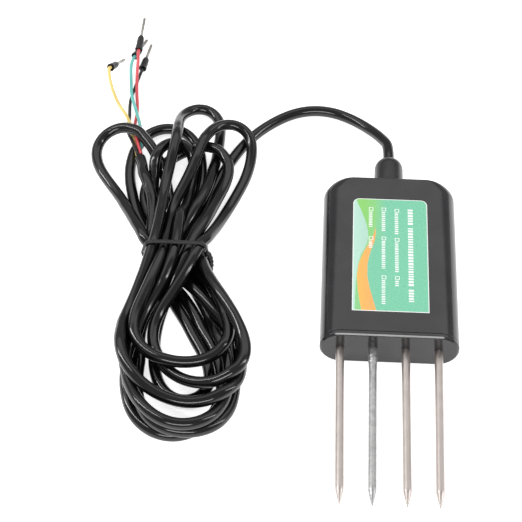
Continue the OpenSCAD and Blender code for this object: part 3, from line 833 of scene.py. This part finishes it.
def cast_skin(along, radius, angle):
    """Lumps and a few ring marks on the root, and a rough skin further out."""
    if along < 0.1:
        return radius
    root = math.exp(-((along - 3.4) / 4.2) ** 2)
    lump = math.sin(2.3 * along + 1.7 * math.sin(angle)) * math.cos(3 * angle + along)
    rings = math.sin(7.5 * along) * math.exp(-((along - 7) / 3.5) ** 2)
    skin = math.sin(5 * angle + 3.1 * along) * math.sin(2.7 * along - 2 * angle)
    return radius * (1 + 0.035 * root * lump + 0.014 * rings + 0.008 * skin)


def add_probes():
    names = ["probe_outer_left", "probe_acidity", "probe_inner_right", "probe_outer_right"]
    for i, name in enumerate(names):
        at = (PROBE_X[i], Y_CAP, Z_MID)
        if i == ACIDITY:
            mesh = lathe(acid_profile(), at, probe_dir(i), 48, shape=cast_skin)
            slot = "acidity_alloy"
        else:
            mesh = lathe(steel_profile(), at, probe_dir(i), 48)
            slot = "probe_steel"
        ride(add_mesh(f"rod_{i + 1}", *mesh, MATERIAL[slot], 40), slot, name)


# ---------------------------------------------------------------- label


def label_material(name, rgb, other, u_low, u_high, v_low=None, v_high=None):
    """Print whose colour runs from one tone to another across the label, from u_low to u_high."""
    s = Shader(name, rgb, 0.3)
    split = s.node("ShaderNodeSeparateXYZ")
    s.link(s.where, split.inputs["Vector"])
    across = s.spread(split.outputs["X"], 1, 0, u_low * MM, u_high * MM)
    if v_low is not None:
        lengthways = s.spread(split.outputs["Y"], 0, 1, (LABEL_Y + v_low) * MM, (LABEL_Y + v_high) * MM)
        both = s.node("ShaderNodeMath", operation="MULTIPLY")
        s.link(across, both.inputs[0])
        s.link(lengthways, both.inputs[1])
        across = both.outputs[0]
    speckle = s.mix(s.spread(s.noise(0.6, 2), 0, 0.12), s.rgb, (1, 1, 1, 1))
    s.link(s.mix(across, speckle, linear(*other)), s.bsdf.inputs["Base Color"])
    s.rough(s.noise(5, 3), 0.26, 0.38)
    s.bump(s.noise(0.5, 2), 0.003)
    return s.material


def label_edges(v):
    """Where one colour of the label meets the next, across it, at a place along it."""
    def bend(table, x):
        return float(np.interp(x, [p[0] for p in table], [p[1] for p in table]))

    pale = bend([(-24, -11.6), (-17, -11.5), (-11.4, -11.3), (-6.2, -10.8), (-3.6, -10.4), (-1, -9.8),
                 (1.6, -8.7), (4.2, -7.8), (6.6, -7.45), (9, -7.4), (12, -7.85), (14.7, -8.5), (19, -9.9),
                 (24, -11.7)], v)
    right = bend([(-24, -4.6), (-19, -5.8), (-14.9, -6.8), (-9.7, -7.6), (-4.9, -7.6), (-1.6, -7.1),
                  (1.6, -6.4), (4, -5.6), (6, -5.1), (8.6, -4.9), (11.4, -4.85), (24, -4.85)], v)
    left = bend([(-24, -9.4), (-19, -10.2), (-15.8, -10.6), (-9.7, -11), (-4.9, -10.5), (-2, -9.7),
                 (0.7, -8.75), (3.4, -7.5), (6, -6.35), (8.6, -5.45), (11.4, -4.85), (24, -4.85)], v)
    return pale, max(left, pale + 0.05), right


def add_label():
    inset, z0, z1, z2 = 0.28, HOUSING_T - 0.3, HOUSING_T - 0.05, HOUSING_T - 0.02
    outline = rounded_far(LABEL_W, LABEL[1], LABEL[4], LABEL_R)
    base = add_mesh("label_base", *prism(outline, z0, z1), MATERIAL["label_vinyl"], 30)
    ride(base, "label_vinyl", "label_sticker")
    tones = [
        label_material("print_pale", (164, 206, 188), (178, 216, 200), -12, -8),
        label_material("print_light", (120, 194, 118), (132, 200, 104), -8.5, -3.6, 2, 12),
        label_material("print_orange", (244, 160, 66), (248, 176, 86), -10, -6),
        label_material("print_teal", (98, 188, 150), (136, 202, 110), -6.5, -1.5, 3, 16),
    ]
    half, radius = LABEL_W / 2 - inset, LABEL_R - inset
    vertices, faces, slots = [], [], []
    y0, y1 = LABEL[1] + inset, LABEL[4] - inset
    rows = list(np.linspace(y0, y1 - radius, 120))
    rows += [y1 - radius + radius * math.sin(a) for a in np.linspace(0, math.pi / 2, 9)[1:]]
    for y in rows:
        cornered = max(0.0, y - (y1 - radius))
        edge = half - (radius - math.sqrt(max(0.0, radius ** 2 - cornered ** 2)))
        inner = [
            min(max(b, -edge + 0.02 * (k + 1)), edge - 0.1)
            for k, b in enumerate(label_edges(y - LABEL_Y))
        ]
        row = [-edge, *inner, edge]
        for z in (z1, z2):
            vertices += [(x, y, z) for x in row]
    n = len(rows)
    # a row has five points across, at each of two heights
    for i in range(n - 1):
        a, b = 10 * i, 10 * (i + 1)
        for k in range(4):
            faces.append((a + 5 + k, a + 6 + k, b + 6 + k, b + 5 + k))
            faces.append((a + k, b + k, b + k + 1, a + k + 1))
            slots += [k, k]
        faces += [(a, a + 5, b + 5, b), (a + 4, b + 4, b + 9, a + 9)]
        slots += [0, 3]
    for k in range(4):
        e = 10 * (n - 1)
        faces += [(k, k + 1, k + 6, k + 5), (e + k, e + 5 + k, e + 6 + k, e + k + 1)]
        slots += [k, k]
    film = add_mesh("label_print", vertices, faces, None, 0, slots=tones, face_slots=slots)
    ride(film, "label_vinyl")


def block(u0, u1, v0, v1, z0, z1):
    """A thin printed block with the given sides on the label."""
    corners = [(u0, v0), (u1, v0), (u1, v1), (u0, v1)]
    return prism([(u, LABEL_Y + v) for u, v in corners], z0, z1)


def add_marks():
    """White marks in the places of the printed lines: rows of plain blocks, and small open squares."""
    rng = np.random.default_rng(7)
    z0, z1 = HOUSING_T - 0.02, HOUSING_T
    stroke = 0.8  # a block's height as a share of its line's
    vertices, faces = [], []

    def add(part):
        faces.extend(tuple(len(vertices) + k for k in face) for face in part[1])
        vertices.extend(part[0])

    def words(u, height, start, stop, low, high, gap, word_gap, lengths):
        v = start
        for letters in lengths:
            for _ in range(letters):
                width = rng.uniform(low, high)
                if v - width < stop:
                    return
                add(block(u, u + stroke * height, v - width, v, z0, z1))
                v -= width + gap
            v -= word_gap

    words(5.9, 2.1, 19.7, -20.4, 0.5, 0.95, 0.42, 1.1, [6, 22, 9])
    boxes = [(1.5, [(19.7, 8.4, [8]), (6.9, -8.2, [11]), (-9.4, -14.2, [3])]),
             (-2.9, [(20.1, 9.0, [8]), (7.3, -7.2, [10]), (-9.3, -22.0, [9])]),
             (-7.2, [(20.1, 11.2, [6]), (7.3, 2.2, [2])])]
    for u, items in boxes:
        for start, stop, letters in items:
            size, line = 1.5, 0.22
            for part in (
                (u, u + size, start - line, start), (u, u + size, start - size, start - size + line),
                (u, u + line, start - size + line, start - line),
                (u + size - line, u + size, start - size + line, start - line),
            ):
                add(block(*part, z0, z1))
            words(u, 1.5, start - size - 0.45, stop, 0.32, 0.62, 0.4, 0.6, [2 * k for k in letters])
    obj = add_mesh("label_marks", vertices, faces, MATERIAL["label_vinyl"], 0)
    ride(obj, "label_vinyl")


add_housing()
add_cap()
add_gland()
add_probes()
add_label()
add_marks()

# ---------------------------------------------------------------- CAD nodes that stay


for row in frame["record"]["subparts"]:
    node = NODES[row["node"]]
    if node.hide_render:
        continue
    node.data.materials.clear()
    node.data.materials.append(MATERIAL[row["material_slot"]])

# ---------------------------------------------------------------- studio


def add_floor():
    s = Shader("floor", (246, 246, 246), 0.6)
    s.tint(s.noise(60, 2), (243, 243, 244))
    s.bsdf.inputs["Emission Color"].default_value = (1, 1, 1, 1)
    s.bsdf.inputs["Emission Strength"].default_value = 0.7
    size = 3000
    mesh = ([(-size, -size, 0), (size, -size, 0), (size, size, 0), (-size, size, 0)], [(0, 1, 2, 3)])
    floor = add_mesh("floor", *mesh, s.material, 0)
    floor.location.z = -0.02 * MM


def add_light(name, at, aim, size, power):
    data = bpy.data.lights.new(name, "AREA")
    data.shape = "RECTANGLE"
    data.size, data.size_y = size
    data.energy = power
    light = bpy.data.objects.new(name, data)
    light.location = at
    light.rotation_euler = (Vector(aim) - Vector(at)).to_track_quat("-Z", "Y").to_euler()
    bpy.context.scene.collection.objects.link(light)


def add_world():
    world = bpy.data.worlds.new("studio")
    world.use_nodes = True
    background = world.node_tree.nodes["Background"]
    background.inputs["Color"].default_value = (1, 1, 1, 1)
    background.inputs["Strength"].default_value = 0.42
    bpy.context.scene.world = world
    bpy.context.scene.view_settings.view_transform = "Standard"
    bpy.context.scene.view_settings.look = "None"


add_floor()
add_world()
add_light("back", (-0.05, 0.75, 0.95), (-0.04, 0.02, 0), (2.4, 0.5), 4)
add_light("left", (-0.7, 0.2, 0.7), (-0.04, 0.02, 0), (0.06, 0.9), 4)
add_light("right", (0.75, 0.05, 0.45), (0.0, 0.02, 0), (0.08, 0.7), 2)
add_light("front", (-0.03, -0.95, 0.78), (-0.03, 0.0, 0), (1.2, 0.24), 9)
